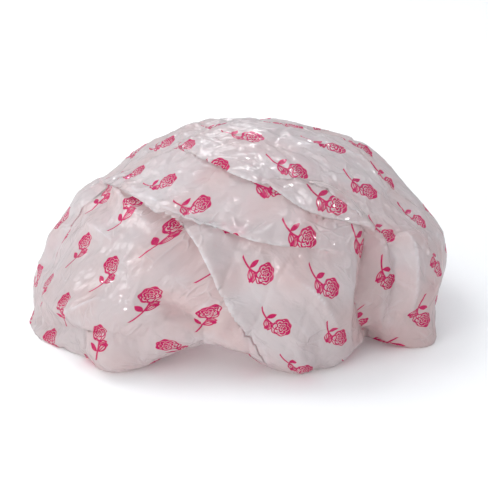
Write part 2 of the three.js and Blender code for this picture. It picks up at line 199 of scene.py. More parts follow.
# Long folds, as lines in the front view. A ledge is a tuck that hangs over the film under it: how far its
# edge stands out, the width of its tread, the depth of the hollow under it and where that hollow ends.
# A ridge or a valley has its height and its half width.
frontFolds = {
    "ledges": [
        (
            [(-46, 107), (-34, 101), (-23, 97), (-6, 93), (15, 86), (30, 82), (49, 79), (70, 75)],
            (3.2, 16, 1.8, 36),
        ),
        (
            [(-36, 146), (-23, 139), (-10, 133), (2, 127), (19, 120)]
            + [(26, 114), (38, 106), (53, 99), (82, 90), (101, 83)],
            (2.8, 20, 2.0, 30),
        ),
        ([(18, 126), (44, 124), (59, 118), (72, 109), (82, 99), (96, 88)], (1.5, 16, 1.2, 24)),
        (
            [(-86, 124), (-62, 113), (-48, 102), (-35, 90), (-22, 76), (-11, 60), (-1, 44), (8, 28)],
            (3.2, 12, 5, 24),
        ),
    ],
    "ridges": [
        ([(-80, 127), (-54, 113), (-38, 104), (-23, 97)], (1.2, 9)),
        ([(30, 152), (42, 144), (62, 140), (82, 133), (97, 118)], (2.5, 12)),
        ([(-86, 124), (-81, 119), (-68, 103), (-52, 84)], (3, 9)),
        ([(-93, 95), (-85, 90), (-76, 84)], (2.5, 7)),
        ([(-108, 38), (-96, 43), (-82, 50)], (3, 8)),
        ([(-128, 34), (-109, 29), (-90, 28), (-73, 25), (-55, 21)], (-6, 12)),
        ([(106, 92), (111, 81), (112, 62), (109, 40)], (5, 12)),
        ([(30, 62), (52, 48), (64, 30)], (3, 10)),
    ],
    "valleys": [
        ([(78, 88), (84, 75), (83, 56), (82, 37), (83, 20)], (10, 10)),
        ([(-62, 52), (-44, 46), (-28, 36), (-16, 26)], (5, 10)),
    ],
}
backFolds = {
    "ledges": [
        ([(-78, 122), (-48, 112), (-18, 100), (16, 94), (48, 88), (86, 70)], (4.6, 18, 3, 34)),
        ([(-16, 142), (16, 134), (44, 122), (70, 108), (92, 92)], (4, 18, 2.4, 26)),
    ],
    "ridges": [
        ([(-20, 90), (-2, 70), (8, 44)], (4, 13)),
        ([(-96, 84), (-80, 66), (-70, 40)], (4, 12)),
        ([(84, 74), (90, 54), (88, 30)], (4, 12)),
    ],
    "valleys": [
        ([(-78, 116), (-52, 88), (-36, 62), (-28, 28)], (8, 11)),
        ([(46, 84), (54, 60), (52, 26)], (7, 10)),
    ],
}


# Smooth line through given points: piecewise cubic with finite-difference slopes.
def smoothLine(points, perSpan=8):
    knots = np.array(points, float)
    slopes = np.gradient(knots, axis=0)
    t = np.linspace(0, 1, perSpan, endpoint=False)[:, None]
    atStart, atEnd = 2 * t**3 - 3 * t**2 + 1, 3 * t**2 - 2 * t**3
    leaving, arriving = t**3 - 2 * t**2 + t, t**3 - t**2
    ends = zip(knots, knots[1:], slopes, slopes[1:])
    spans = [atStart * a + leaving * s + atEnd * b + arriving * r for a, b, s, r in ends]
    return np.concatenate(spans + [knots[-1:]])


# Signed distance from a line, positive above it, a fade that is 1 half way along it, and the way up.
def besideLine(points, x, h):
    line = smoothLine(points)
    best = np.full(x.shape, np.inf)
    signed, along = np.zeros_like(x), np.zeros_like(x)
    up = np.zeros((len(x), 2))
    for k, (start, end) in enumerate(zip(line, line[1:])):
        step = end - start
        ox, oh = x - start[0], h - start[1]
        t = np.clip((ox * step[0] + oh * step[1]) / (step @ step), 0, 1)
        apart = np.hypot(ox - t * step[0], oh - t * step[1])
        nearer = apart < best
        best = np.where(nearer, apart, best)
        signed = np.where(nearer, apart * np.sign(step[0] * oh - step[1] * ox), signed)
        along = np.where(nearer, (k + t) / (len(line) - 1), along)
        up[nearer] = np.array([-step[1], step[0]]) / np.hypot(*step)
    return signed, np.sin(np.pi * along) ** 0.5, up


tuck = {
    "over": 2.4,  # how far a ledge hangs down over the film under it
    "under": 3,  # how far that film reaches up behind it
    "band": 6,  # film between those two edges
    "snap": 0.95,  # points this near to an edge are put on it
    "edgeHeight": 0.9,  # sharp tent on each ridge and in each valley
    "edgeWidth": 3.2,
    "shadeDepth": 3.5,  # depth of a hollow at which its painted shade is full
    "shineWidth": 1.7,  # painted highlight line along an edge, partly stress whitening
    "leastFacing": 0.35,  # limits the stretch of a move where the film turns edge on
    "facing": (0.02, 0.3),  # folds fade out where the film turns this far edge on
}


# Moves of the film by folds: outwards, with straight flanks between a fold's corners, and along the film,
# down at a ledge's edge and up behind it, so that the film lies in three layers there. The third result
# is the depth of the hollows under ledges and in valleys, which sets a painted shade; the fourth is 1 on
# the edges themselves, where a painted highlight goes, partly for stress whitening.
def foldMove(folds, x, h):
    out, deep, shine = np.zeros((3, len(x)))
    slide = np.zeros((len(x), 2))
    for line, (height, tread, hollow, end) in folds["ledges"]:
        v, fade, up = besideLine(line, x, h)
        corners = [-end, -tuck["band"], 0, tread]
        edge = v.copy()
        for corner in (-tuck["band"], 0):
            edge = np.where(np.abs(v - corner) < tuck["snap"], corner, edge)
        out += fade * np.interp(edge, corners, [0, -hollow, height, 0])
        steps = np.interp(edge, corners, [0, tuck["under"] + tuck["band"], -tuck["over"], 0])
        slide += up * (fade * (steps + edge - v))[:, None]
        deep = np.maximum(deep, fade * np.interp(edge, corners, [0, hollow, 0, 0]))
        shine = np.maximum(shine, fade * (edge == 0))
    for sign, kind in ((1, "ridges"), (-1, "valleys")):
        for line, (height, width) in folds[kind]:
            v, fade, _ = besideLine(line, x, h)
            edge = np.sign(height) * tuck["edgeHeight"] * np.maximum(1 - np.abs(v) / tuck["edgeWidth"], 0)
            tent = fade * (np.interp(np.abs(v), [0, width], [height, 0]) + edge)
            out += sign * tent
            if kind == "valleys":
                deep = np.maximum(deep, tent)
            if sign * height > 0:
                shine = np.maximum(shine, fade * (1 - np.abs(v) / tuck["shineWidth"]))
    return out, slide, deep, shine


# Folds seen from one side: turned is (1, 1, 1) for the front and (-1, -1, 1) for the back. A move along
# the view plane is carried back along the view until it lies in the film.
def foldSteps(folds, points, normals, turned):
    x, h = onViewPlane(points * turned)
    facing = -(normals * turned) @ viewAlong
    out, slide, deep, shine = foldMove(folds, x, h)
    step = slide[:, :1] * [1, 0, 0] + slide[:, 1:] * viewUp
    depth = np.sum(step * normals * turned, axis=1) / np.maximum(facing, tuck["leastFacing"])
    step = step + depth[:, None] * viewAlong
    shown = smoothstep(*tuck["facing"], facing)
    return shown, normals * out[:, None] + step * turned, deep, shine


filmSheet = {
    "name": "cap_film",
    "seamRun": 247,  # crown to seam along the film
    "hemRun": 26,  # seam to the film's free edge
    "rings": 158,
    "lowest": 0.25,  # above the table
    "foldsEnd": (1.6, 2.0),  # places down the film between which folds and creases fade out
    "creasesEnd": (1.7, 2.3),
}
discRadius = filmSheet["seamRun"] + filmSheet["hemRun"]


# Disc of near-equal triangles: ring k has six times k points, and starts after those inside it.
def discGrid(rings):
    number = np.arange(rings + 1)
    start = np.where(number > 0, 1 + 3 * number * (number - 1), 0)
    ring = np.repeat(number, np.maximum(6 * number, 1))
    turn = 2 * np.pi * (np.arange(len(ring)) - start[ring]) / np.maximum(6 * ring, 1)
    faces = []
    for k in range(1, rings + 1):
        step = np.arange(6 * k)
        sector, part = np.divmod(step, k)
        inner = sector * (k - 1) + part
        count = max(6 * (k - 1), 1)
        here, there = start[k] + step, start[k] + (step + 1) % (6 * k)
        below, beside = start[k - 1] + inner % count, start[k - 1] + (inner + 1) % count
        faces.append(np.stack([below, here, there], axis=1))
        faces.append(np.stack([below, there, beside], axis=1)[part < k - 1])
    return ring / rings, turn, np.concatenate(faces)


# Bulges and dents of the outline as seen from the front: place on the view plane, spread and height.
bulges = [
    ((-98, 116), 13, 6),
    ((-127, 75), 13, -6),
    ((-119, 20), 11, 6),
    ((107, 123), 26, -5.5),
]

# Where several layers of film lie behind one another on the lower right, which is in shade: place, spread
# and share of pink and painted shade.
layersAndShade = [((112, 42), 26, 0.8)]


# Sum of bell curves on the view plane.
def bellSum(bells, points):
    x, h = onViewPlane(points)
    sums = np.zeros_like(x)
    for (px, ph), spread, height in bells:
        sums += height * np.exp(-((x - px) ** 2 + (h - ph) ** 2) / spread**2)
    return sums


# Creases: tent-shaped ridges and grooves on random lines of the flat film, from broad ones that make flat
# facets to fine ones. At the front most of them run along the long folds, elsewhere any way.
creases = {
    "seed": 7,
    "early": 0.45,  # share that the film has before it is crumpled
    "front": 0.25,  # sine of the turn at which the front ends
    "lean": -30,  # of the front's creases, in degrees
    "leanSpread": 28,
    # count, share of the film's run that they reach, and the ranges of half length, half width and height
    "sizes": [
        (110, 0.86, (28, 75), (9, 20), (0.6, 2.0)),
        (380, 0.86, (9, 36), (3.0, 8.0), (0.1, 0.7)),
        (600, 0.86, (3, 13), (1.8, 3.6), (0.08, 0.35)),
        (480, 0.42, (3, 12), (1.8, 3.0), (0.2, 0.68)),
    ],
}


# Height of all creases: each is a tent across its line, and a parabola along it.
def creaseMove(u, v):
    rng = np.random.default_rng(creases["seed"])
    move = np.zeros_like(u)
    for count, reach, lengths, widths, heights in creases["sizes"]:
        for _ in range(count):
            radius, angle = filmSheet["seamRun"] * reach * np.sqrt(rng.random()), 2 * np.pi * rng.random()
            atFront = np.sin(angle) < creases["front"]
            if atFront:
                lean = np.radians(rng.normal(creases["lean"], creases["leanSpread"]))
            else:
                lean = np.radians(180 * rng.random())
            half, width = rng.uniform(*lengths), rng.uniform(*widths)
            height = rng.uniform(*heights) * rng.choice([-1, 1])
            ou, ov = u - radius * np.cos(angle), v - radius * np.sin(angle)
            along, across = ou * np.cos(lean) + ov * np.sin(lean), ov * np.cos(lean) - ou * np.sin(lean)
            tent = np.maximum(1 - np.abs(across) / width, 0)
            move += height * tent * np.maximum(1 - (along / half) ** 2, 0)
    return move


# Puckers that take up the film's spare width: a fine uneven wave round the cap, from -1 to 1, and how
# deep it is down the film; and broad, uneven pleats in the wall, deepest at its foot.
puckers = {
    "count": 54,
    "power": 0.9,  # under 1, the wave's tips are sharper
    "places": [1.85, 2.0, 2.2, 2.7, 3.0],
    "depths": [0, 1.0, 8.0, 8.0, 2.6],
    "uneven": [(2.1, 3, 0.8), (1.3, 7, 0), (0.6, 11, 2)],  # size, count and phase of each wave
    "liftFrom": (1.6, 1.9),
    "liftTo": (2.6, 3),
    "pleats": 19,
    "pleatPower": 0.8,
    "pleatUneven": [(2.6, 2, 1.9), (1.7, 5, 0.4), (0.9, 8, 0)],
    "pleatSize": 0.65,
    "pleatSizeUneven": [(0.35, 4, 2.2)],
    "pleatPlaces": [0.35, 0.8, 1.3, 1.8, 2.4],
    "pleatDepths": [0, 1.6, 3.0, 2.4, 0],
    "frontPleats": 0.25,  # how much of the pleats' depth shows at the front
    "pleatsFrom": (-0.8, 0.3),  # sine of the turn, from the front to the back
}


# Sum of sines round the cap.
def waveSum(waves, turn):
    return sum(size * np.sin(count * turn + phase) for size, count, phase in waves)


# Pointed wave: 1 less twice a power of the size of the sine of half the angle.
def puckerWave(turn):
    angle = puckers["count"] * turn + waveSum(puckers["uneven"], turn)
    return 1 - 2 * np.abs(np.sin(angle / 2)) ** puckers["power"]


# Number of pleats up to each turn: whole at the bottom of a pleat, half way at its top.
def pleatPhase(turn):
    return (puckers["pleats"] * turn + waveSum(puckers["pleatUneven"], turn)) / (2 * np.pi)


# The same pointed wave once for each pleat, of a height that varies round the cap.
def pleatWave(turn):
    size = puckers["pleatSize"] + waveSum(puckers["pleatSizeUneven"], turn)
    return size * (1 - 2 * np.abs(np.sin(np.pi * pleatPhase(turn))) ** puckers["pleatPower"])


# Inward move of the film by puckers and pleats. Off the seam the puckers only rise from the table.
def puckerMove(place, turn):
    depth = np.interp(place, puckers["places"], puckers["depths"])
    lifted = smoothstep(*puckers["liftFrom"], place) * (1 - smoothstep(*puckers["liftTo"], place))
    toBack = smoothstep(*puckers["pleatsFrom"], np.sin(turn))
    back = puckers["frontPleats"] + (1 - puckers["frontPleats"]) * toBack
    pleat = np.interp(place, puckers["pleatPlaces"], puckers["pleatDepths"]) * pleatWave(turn) * back
    return depth * (puckerWave(turn) + lifted) + pleat


# Hem: folded inwards over the elastic and sewn down at the seam.
hem = {
    "before": 2.9,  # place down the film from which the hem takes its direction
    "bandWidth": 6,
    "bandThickness": 1,
    "slack": 2.4,  # room beside the elastic
    "taper": 1.9,
    "layerGap": 0.7,
    "bandMiddle": 0.65,
    "outerFace": -0.55,  # the hem's two faces, from the seam inwards
    "innerFace": 1.85,
    "puff": 1.6,
    "overlap": 3,
    "sideRun": 2.4,  # film used up by each side and each face
    "faceRun": 7,
    "swing": 2.6,  # height of the puckers at the seam
    "lapPlace": np.radians(90),
    "lapAngle": np.radians(14),
    "lapRamp": np.radians(8),
    "lapRoom": 2.1,
}
hemWidth = hem["bandWidth"] + 2 * hem["slack"]


# Seam, the way on into the hem and the inner normal, at each turn.
def seamFrames(turn):
    at, before = np.full_like(turn, seamPlace), np.full_like(turn, hem["before"])
    seam = smoothDome(at, turn)
    on = seam - smoothDome(before, turn)
    on = on / np.linalg.norm(on, axis=-1, keepdims=True)
    return seam, on, -domeNormals(np.full_like(turn, steadyPlaces[1]), turn)


# Share of the lap of the elastic at each turn: 1 where it lies double.
def lapShare(turn):
    away = np.abs((turn - hem["lapPlace"] + np.pi) % (2 * np.pi) - np.pi)
    half, ramp = hem["lapAngle"] / 2, hem["lapRamp"]
    return 1 - smoothstep(half + ramp, half + 2 * ramp, away)


# Points of the hem: the film goes on past the seam, round the elastic and back under itself, along a
# section of straight runs whose corners swing with the puckers.
def hemPoints(share, turn):
    pucker = puckerWave(turn)
    zero = np.zeros_like(turn)
    under = hem["outerFace"] - hem["puff"] * (1 + pucker) / 2
    inside = hem["innerFace"] + hem["lapRoom"] * lapShare(turn) + hem["puff"] * (1 - pucker) / 2
    back = hem["swing"] * pucker + hem["layerGap"]
    width, taper = hemWidth, hem["taper"]
    ons = [0, taper, width - taper, width, width - taper, taper, 0, -hem["overlap"]]
    ins = [hem["swing"] * pucker, under, under, zero + hem["bandMiddle"], inside, inside, back, back]
    side, face = hem["sideRun"], hem["faceRun"]
    lengths = np.cumsum([0, side, face, side, side, face, side, hem["overlap"]])
    place = np.interp(share * lengths[-1], lengths, np.arange(8))
    knot = np.minimum(place.astype(int), 6)
    t = place - knot
    way = np.interp(place, np.arange(8), ons)
    inner = np.choose(knot, ins[:-1]) * (1 - t) + np.choose(knot, ins[1:]) * t
    seam, on, inwards = seamFrames(turn)
    return seam + on * way[:, None] + inwards * inner[:, None]


# The film that shows lies unshrunk in panels between deep folds, which hide the rest. A panel has the
# turn of its middle line, in degrees.
panels = {
    "front": 272,
    "right": 318,
    "rightFrom": 70,  # x on the view plane
    "left": 215,
    "leftRotation": np.radians(-66),  # the left panel's film comes from further round
    "leftPivot": np.array([-139, -97]),
    "leftPink": 0.2,
    "backFrom": 14,
    "backTo": 187,
    "frontEdges": [frontFolds["ledges"][1][0], frontFolds["ledges"][3][0], frontFolds["valleys"][0][0]],
}


# Flat place of each point of the film: its run from the crown, and an angle that is measured along the
# cap from the middle line of its panel. Behind, each pleat is a panel.
def flatPlaces(points, place, run, turn):
    curve = np.minimum(place.astype(int), 2)
    side = np.choose(curve, [bezier(corners, place - curve)[:, 0] for corners in sideCurves])
    end = np.choose(curve, [bezier(corners, place - curve)[:, 0] for corners in endCurves])
    fine = np.linspace(-np.pi, 4 * np.pi, 4000)
    phase = np.maximum.accumulate(pleatPhase(fine))

    # turn of the pleat's bottom that is nearest to an angle
    def valleyNear(degrees):
        return np.interp(np.round(pleatPhase(np.radians(degrees))), phase, fine)

    x, h = onViewPlane(points)
    above, right, inside = (besideLine(line, x, h)[0] for line in panels["frontEdges"])
    middle = np.interp(np.floor(pleatPhase(turn)) + 0.5, phase, fine)
    atFront = (turn > valleyNear(panels["backTo"])) | (turn < valleyNear(panels["backFrom"]))
    round360 = np.where(turn < np.pi / 2, turn + 2 * np.pi, turn)
    edge = -tuck["band"] / 2
    onRight = (above > edge) | ((inside > 0) & (x > panels["rightFrom"]))
    onLeft = (right < edge) & ~onRight
    frontMiddle = np.where(onRight, panels["right"], np.where(onLeft, panels["left"], panels["front"]))
    middle = np.where(atFront, np.radians(frontMiddle), middle)
    around = np.hypot(side * np.sin(middle), end * np.cos(middle))
    slack = np.minimum(around / np.maximum(run, 1e-6), 1)
    angle = middle + (np.where(atFront, round360, turn) - middle) * slack
    flat = np.stack([run * np.cos(angle), run * np.sin(angle)], axis=1)
    c, s = np.cos(panels["leftRotation"]), np.sin(panels["leftRotation"])
    rotated = (flat - panels["leftPivot"]) @ np.array([[c, s], [-s, c]]) + panels["leftPivot"]
    leftPanel = atFront & onLeft
    return np.where(leftPanel[:, None], rotated, flat), leftPanel


# The film: the smooth dome, moved by folds in the view and along its normals by creases, puckers and
# bulges, with its hem put in past the seam.
def buildFilm():
    share, turn, faces = discGrid(filmSheet["rings"])
    run = share * discRadius
    u, v = run * np.cos(turn), run * np.sin(turn)
    place = placeOnCurves(np.minimum(run / filmSheet["seamRun"], 1))
    points = smoothDome(place, turn)
    flat, leftPanel = flatPlaces(points, place, run, turn)
    normals = domeNormals(np.clip(place, *steadyPlaces), turn)
    frontShare, frontStep, frontDeep, frontShine = foldSteps(frontFolds, points, normals, [1, 1, 1])
    backShare, backStep, backDeep, backShine = foldSteps(backFolds, points, normals, [-1, -1, 1])
    backShare = backShare * (1 - frontShare)
    # painted highlight, partly stress whitening: 1 along the edges of ledges and on ridges, kept as the
    # 'shine' values
    shine = frontShare * frontShine + backShare * backShine
    # painted shade: hollows under ledges and in valleys take the blush colour by their depth
    hollow = np.clip((frontShare * frontDeep + backShare * backDeep) / tuck["shadeDepth"], 0, 1)
    folded = frontShare[:, None] * frontStep + backShare[:, None] * backStep
    crease = creaseMove(u, v) * (1 - smoothstep(*filmSheet["creasesEnd"], place))
    foldShare = 1 - smoothstep(*filmSheet["foldsEnd"], place)
    # share of the blush colour: painted shade in hollows, a set share on the left panel, and pink with
    # painted shade where layers lie behind on the lower right; kept as the 'hollow' values
    shadeAndPink = np.maximum(hollow, panels["leftPink"] * leftPanel) + frontShare * bellSum(layersAndShade, points)
    move = creases["early"] * crease - puckerMove(place, turn) + bellSum(bulges, points)
    points = points + folded * foldShare[:, None] + normals * move[:, None]
    points[:, 2] = np.maximum(points[:, 2], filmSheet["lowest"])
    inHem = run > filmSheet["seamRun"]
    hemShare = (run[inHem] - filmSheet["seamRun"]) / filmSheet["hemRun"]
    points[inHem] = hemPoints(hemShare, turn[inHem])
    looks = {"shine": shine, "hollow": np.minimum(shadeAndPink, 1)}
    return dict(points=points, faces=faces, flat=flat, place=place, crease=crease, looks=looks)


# Mesh object at the origin from points in millimetres.
def newObject(name, points, faces):
    mesh = bpy.data.meshes.new(name)
    mesh.from_pydata((points * mm).tolist(), [], faces)
    mesh.update()
    piece = bpy.data.objects.new(name, mesh)
    bpy.context.scene.collection.objects.link(piece)
    mesh.shade_smooth()
    return piece


# Crumple: the film is let grow a little while it is held loosely in its form and firmly at the rim,
# so that it buckles into creases, and what it has become is kept.
crumple = {
    "frames": 16,
    "firmFrom": 2.0,  # place down the film where the firm hold begins
    "looseHold": 0.1,
    "reach": 7,  # the furthest that a point may move
    "cloth": {
        "quality": 6,
        "mass": 0.02,
        "air_damping": 2,
        "tension_stiffness": 40,
        "compression_stiffness": 40,
        "shear_stiffness": 20,
        "bending_stiffness": 0.3,
        "pin_stiffness": 0.4,
        "shrink_min": -0.022,  # less than 0, so the film grows
    },
}


# Where the film's points are after the cloth's last frame, in millimetres.
def crumpleFilm(piece, firm):
    scene = bpy.context.scene
    group = piece.vertex_groups.new(name="hold")
    group.add(np.flatnonzero(firm).tolist(), 1.0, "REPLACE")
    group.add(np.flatnonzero(~firm).tolist(), crumple["looseHold"], "REPLACE")
    cloth = piece.modifiers.new("crumple", "CLOTH")
    cloth.collision_settings.use_collision = False
    cloth.point_cache.frame_end = crumple["frames"]
    cloth.settings.vertex_group_mass = group.name
    cloth.settings.effector_weights.gravity = 0
    for name, value in crumple["cloth"].items():
        setattr(cloth.settings, name, value)
    for number in range(1, crumple["frames"] + 1):
        scene.frame_set(number)
    shape = piece.evaluated_get(bpy.context.evaluated_depsgraph_get()).data
    moved = np.empty(len(shape.vertices) * 3, np.float32)
    shape.vertices.foreach_get("co", moved)
    piece.modifiers.remove(cloth)
    piece.vertex_groups.remove(group)
    scene.frame_set(1)
    return moved.reshape(-1, 3) / mm


# Points in millimetres, put into the mesh in metres.
def setPoints(piece, points):
    piece.data.vertices.foreach_set("co", (points * mm).astype(np.float32).ravel())
    piece.data.update()


# Mean normal of the faces at each point of the mesh.
def vertexNormals(piece):
    normals = np.empty(len(piece.data.vertices) * 3, np.float32)
    piece.data.vertex_normals.foreach_get("vector", normals)
    return normals.reshape(-1, 3)


film = buildFilm()
capFilm = newObject(filmSheet["name"], film["points"], film["faces"].tolist())
uvLayer = capFilm.data.uv_layers.new(name="flatFilm")
loops = film["faces"].ravel()
flat = film["flat"][loops] / (2 * discRadius) + 0.5
uvLayer.uv.foreach_set("vector", flat.ravel().astype(np.float32))
for name, values in film["looks"].items():
    layer = capFilm.data.attributes.new(name, "FLOAT", "POINT")
    layer.data.foreach_set("value", values.astype(np.float32))
step = crumpleFilm(capFilm, film["place"] > crumple["firmFrom"]) - film["points"]
length = np.linalg.norm(step, axis=1, keepdims=True)
film["points"] += step * np.minimum(crumple["reach"] / np.maximum(length, 1e-6), 1)
setPoints(capFilm, film["points"])
late = (1 - creases["early"]) * film["crease"]
film["points"] += vertexNormals(capFilm) * late[:, None]
film["points"][:, 2] = np.maximum(film["points"][:, 2], filmSheet["lowest"])
setPoints(capFilm, film["points"])
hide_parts("printed_film")
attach(capFilm, "root")
discWidth = 2 * discRadius * mm
discArea = np.pi * discWidth**2 / 4
print("film built:", len(film["points"]), "points")


# Mesh through closed sections that follow one another round a ring, or along a strip with ends.
def sweptObject(name, sections, ring):
    count, size = sections.shape[:2]
    i, k = np.meshgrid(np.arange(count if ring else count - 1), np.arange(size), indexing="ij")
    after, beside = (i + 1) % count, (k + 1) % size
    corners = [i * size + k, i * size + beside, after * size + beside, after * size + k]
    faces = np.stack(corners, axis=-1).reshape(-1, 4).tolist()
    if not ring:
        first = np.arange(size)
        faces += [first[::-1].tolist(), (first + (count - 1) * size).tolist()]
    return newObject(name, sections.reshape(-1, 3), faces)


# Round sections of a thread: a circle across the way that its middle line goes.
def threadSections(middles, up, diameter, sides, ring):
    if ring:
        way = np.roll(middles, -1, axis=0) - np.roll(middles, 1, axis=0)
    else:
        way = np.gradient(middles, axis=0)
    across = np.cross(way, up)
    across = across / np.linalg.norm(across, axis=1, keepdims=True)
    stand = np.cross(across, way)
    stand = stand / np.linalg.norm(stand, axis=1, keepdims=True)
    angle = 2 * np.pi * np.arange(sides) / sides
    circle = across[:, None] * np.cos(angle)[:, None] + stand[:, None] * np.sin(angle)[:, None]
    return middles[:, None] + circle * diameter / 2


elastic = {"name": "elastic", "stations": 420, "ribs": 8, "perRib": 6, "ribHeight": 0.14, "lapLift": 1.3}


# Ribbed strip that runs once round the hem and climbs onto its own start.
def buildElastic():
    angle = np.linspace(0, 2 * np.pi + hem["lapAngle"], elastic["stations"])
    seam, on, inwards = seamFrames(hem["lapPlace"] - hem["lapAngle"] / 2 + angle)
    ramp = hem["lapRamp"]
    lift = elastic["lapLift"] * smoothstep(2 * np.pi - 1.5 * ramp, 2 * np.pi - ramp / 2, angle)
    across = np.linspace(0, 1, elastic["perRib"] * elastic["ribs"] + 1)
    rib = elastic["ribHeight"] * (1 - np.abs(np.sin(np.pi * elastic["ribs"] * across)))
    thick = hem["bandThickness"] / 2 - rib
    wide = hem["slack"] + hem["bandWidth"] * np.concatenate([across, across[::-1]])
    deep = hem["bandMiddle"] + np.concatenate([-thick, thick[::-1]])
    sections = seam[:, None] + on[:, None] * wide[:, None]
    sections = sections + inwards[:, None] * (deep[:, None] + lift[:, None, None])
    return sweptObject(elastic["name"], sections, False)


seamThread = {
    "diameter": 0.5,
    "sides": 6,
    "stitches": 132,
    "perStitch": 14,
    "stand": 0.5,
    "dip": 0.22,
    "dipPower": 6,  # the higher, the shorter each dip
}


# Thread of the lockstitch along the seam: it stands off the film between the stitch holes and dips to it
# at each of them, by a power of a cosine. side is -1 for the outer face and 1 for the inner one.
def buildSeamThread(name, side, offset):
    count = seamThread["stitches"] * seamThread["perStitch"]
    turn = 2 * np.pi * np.arange(count) / count
    seam, _, inwards = seamFrames(turn)
    hole = np.abs(np.cos(seamThread["stitches"] * turn / 2)) ** seamThread["dipPower"]
    stand = seamThread["stand"] - seamThread["dip"] * hole
    middles = seam + inwards * (hem["swing"] * puckerWave(turn) + offset + side * stand)[:, None]
    sections = threadSections(middles, inwards, seamThread["diameter"], seamThread["sides"], True)
    return sweptObject(name, sections, True)


tack = {"passes": 7, "length": 9, "reach": 2, "gap": 0.3, "steps": 168}


# Zigzag over the lap: a cosine across the elastic, drawn out along it.
def buildTack():
    at = np.full(tack["steps"] + 1, hem["lapPlace"])
    seam, on, inwards = seamFrames(at)
    share = np.linspace(0, 1, tack["steps"] + 1)
    lapTop = hem["bandMiddle"] + hem["bandThickness"] / 2 + elastic["lapLift"]
    top = lapTop + tack["gap"] + seamThread["diameter"] / 2
    across = hem["slack"] + hem["bandWidth"] / 2 + tack["reach"] * np.cos(np.pi * tack["passes"] * share)
    along = np.cross(on, inwards) * ((share - 0.5) * tack["length"])[:, None]
    middles = seam + inwards * top + on * across[:, None] + along
    sections = threadSections(middles, inwards, seamThread["diameter"], seamThread["sides"], False)
    return sweptObject("lap_tack", sections, False)


hiddenPieces = [
    (buildElastic(), "elastic_band", "elastic"),
    (buildTack(), "elastic_lap_tack", "thread"),
    (buildSeamThread("needle_thread", -1, 0), "seam_needle_thread", "thread"),
    (buildSeamThread("bobbin_thread", 1, hem["layerGap"]), "seam_bobbin_thread", "thread"),
]
for piece, node, slot in hiddenPieces:
    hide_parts(node)
    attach(piece, "root")
print("elastic and seam built")


# Material without nodes, and its tree.
def newMaterial(name):
    material = bpy.data.materials.new(name)
    material.use_nodes = True
    material.node_tree.nodes.clear()
    return material, material.node_tree


# New shader node with its settings. Each socket that is named gets a value, or a link from an output or
# from a term.
def addNode(tree, kind, sockets=None, **settings):
    node = tree.nodes.new("ShaderNode" + kind)
    for name, value in settings.items():
        setattr(node, name, value)
    for name, value in (sockets or {}).items():
        source = value.socket if isinstance(value, Term) else value
        if isinstance(source, bpy.types.NodeSocket):
            tree.links.new(source, node.inputs[name])
        else:
            node.inputs[name].default_value = source
    return node


class Term:  # a number in a shader; arithmetic on it adds Math nodes
    def __init__(self, tree, socket):
        self.tree, self.socket = tree, socket

    def math(self, operation, *others):
        node = addNode(self.tree, "Math", dict(enumerate((self, *others))), operation=operation)
        return Term(self.tree, node.outputs[0])

    def __add__(self, other):
        return self.math("ADD", other)

    def __sub__(self, other):
        return self.math("SUBTRACT", other)

    def __mul__(self, other):
        return self.math("MULTIPLY", other)

    def __neg__(self):
        return self.math("MULTIPLY", -1.0)


# Sprig print, in millimetres of flat film: rows of sprigs, every other row shifted half a step.
sprig = {
    "columnStep": 40,
    "rowStep": 28.5,
    "scale": 0.93,
    "tilt": np.radians(-15),
    "rosePlace": (6.2, -0.6),
    "roseRadius": 6.5,
    "petalStep": 1.8,
    "petalGap": 0.28,  # bare share between two rows of petals, less away from the stem
    "petalShade": -0.22,
    "petals": (2.0, 0.5),  # half the petals of the first row, and how many more each row has
    "petalTwist": 0.9,  # turn of each row
    "ruffle": 1.3,  # how far the petals of a row bulge
    "rim": 0.93,
    "scallops": [(7.0, 0.6), (3.0, 1.0)],  # count and phase of the waves in the rose's rim
    "scallop": 0.05,
    "rimLine": 0.7,
    "stemLow": (1.0, -1.6),  # where the stem meets the rose, the lowest point of its curve
    "stemCurve": 0.036,
    "stemStart": -13.0,
    "stemWidth": 1.0,
    # middle, lean in degrees, length and width
    "openLeaves": [((-2.4, -3.9), -48, 8.5, 3.6), ((0.2, -4.2), -70, 6.5, 3.4)],
    "fullLeaves": [((-3.4, 2.6), 55, 6.6, 3.3), ((-1.2, -6.2), -60, 3.0, 1.8)],
    "midrib": 0.32,  # half width of an open leaf's midrib
    "leafRim": (0.4, 0.48),  # place and half width of its rim
    "edge": 0.35,  # softness of the ink's edge
}


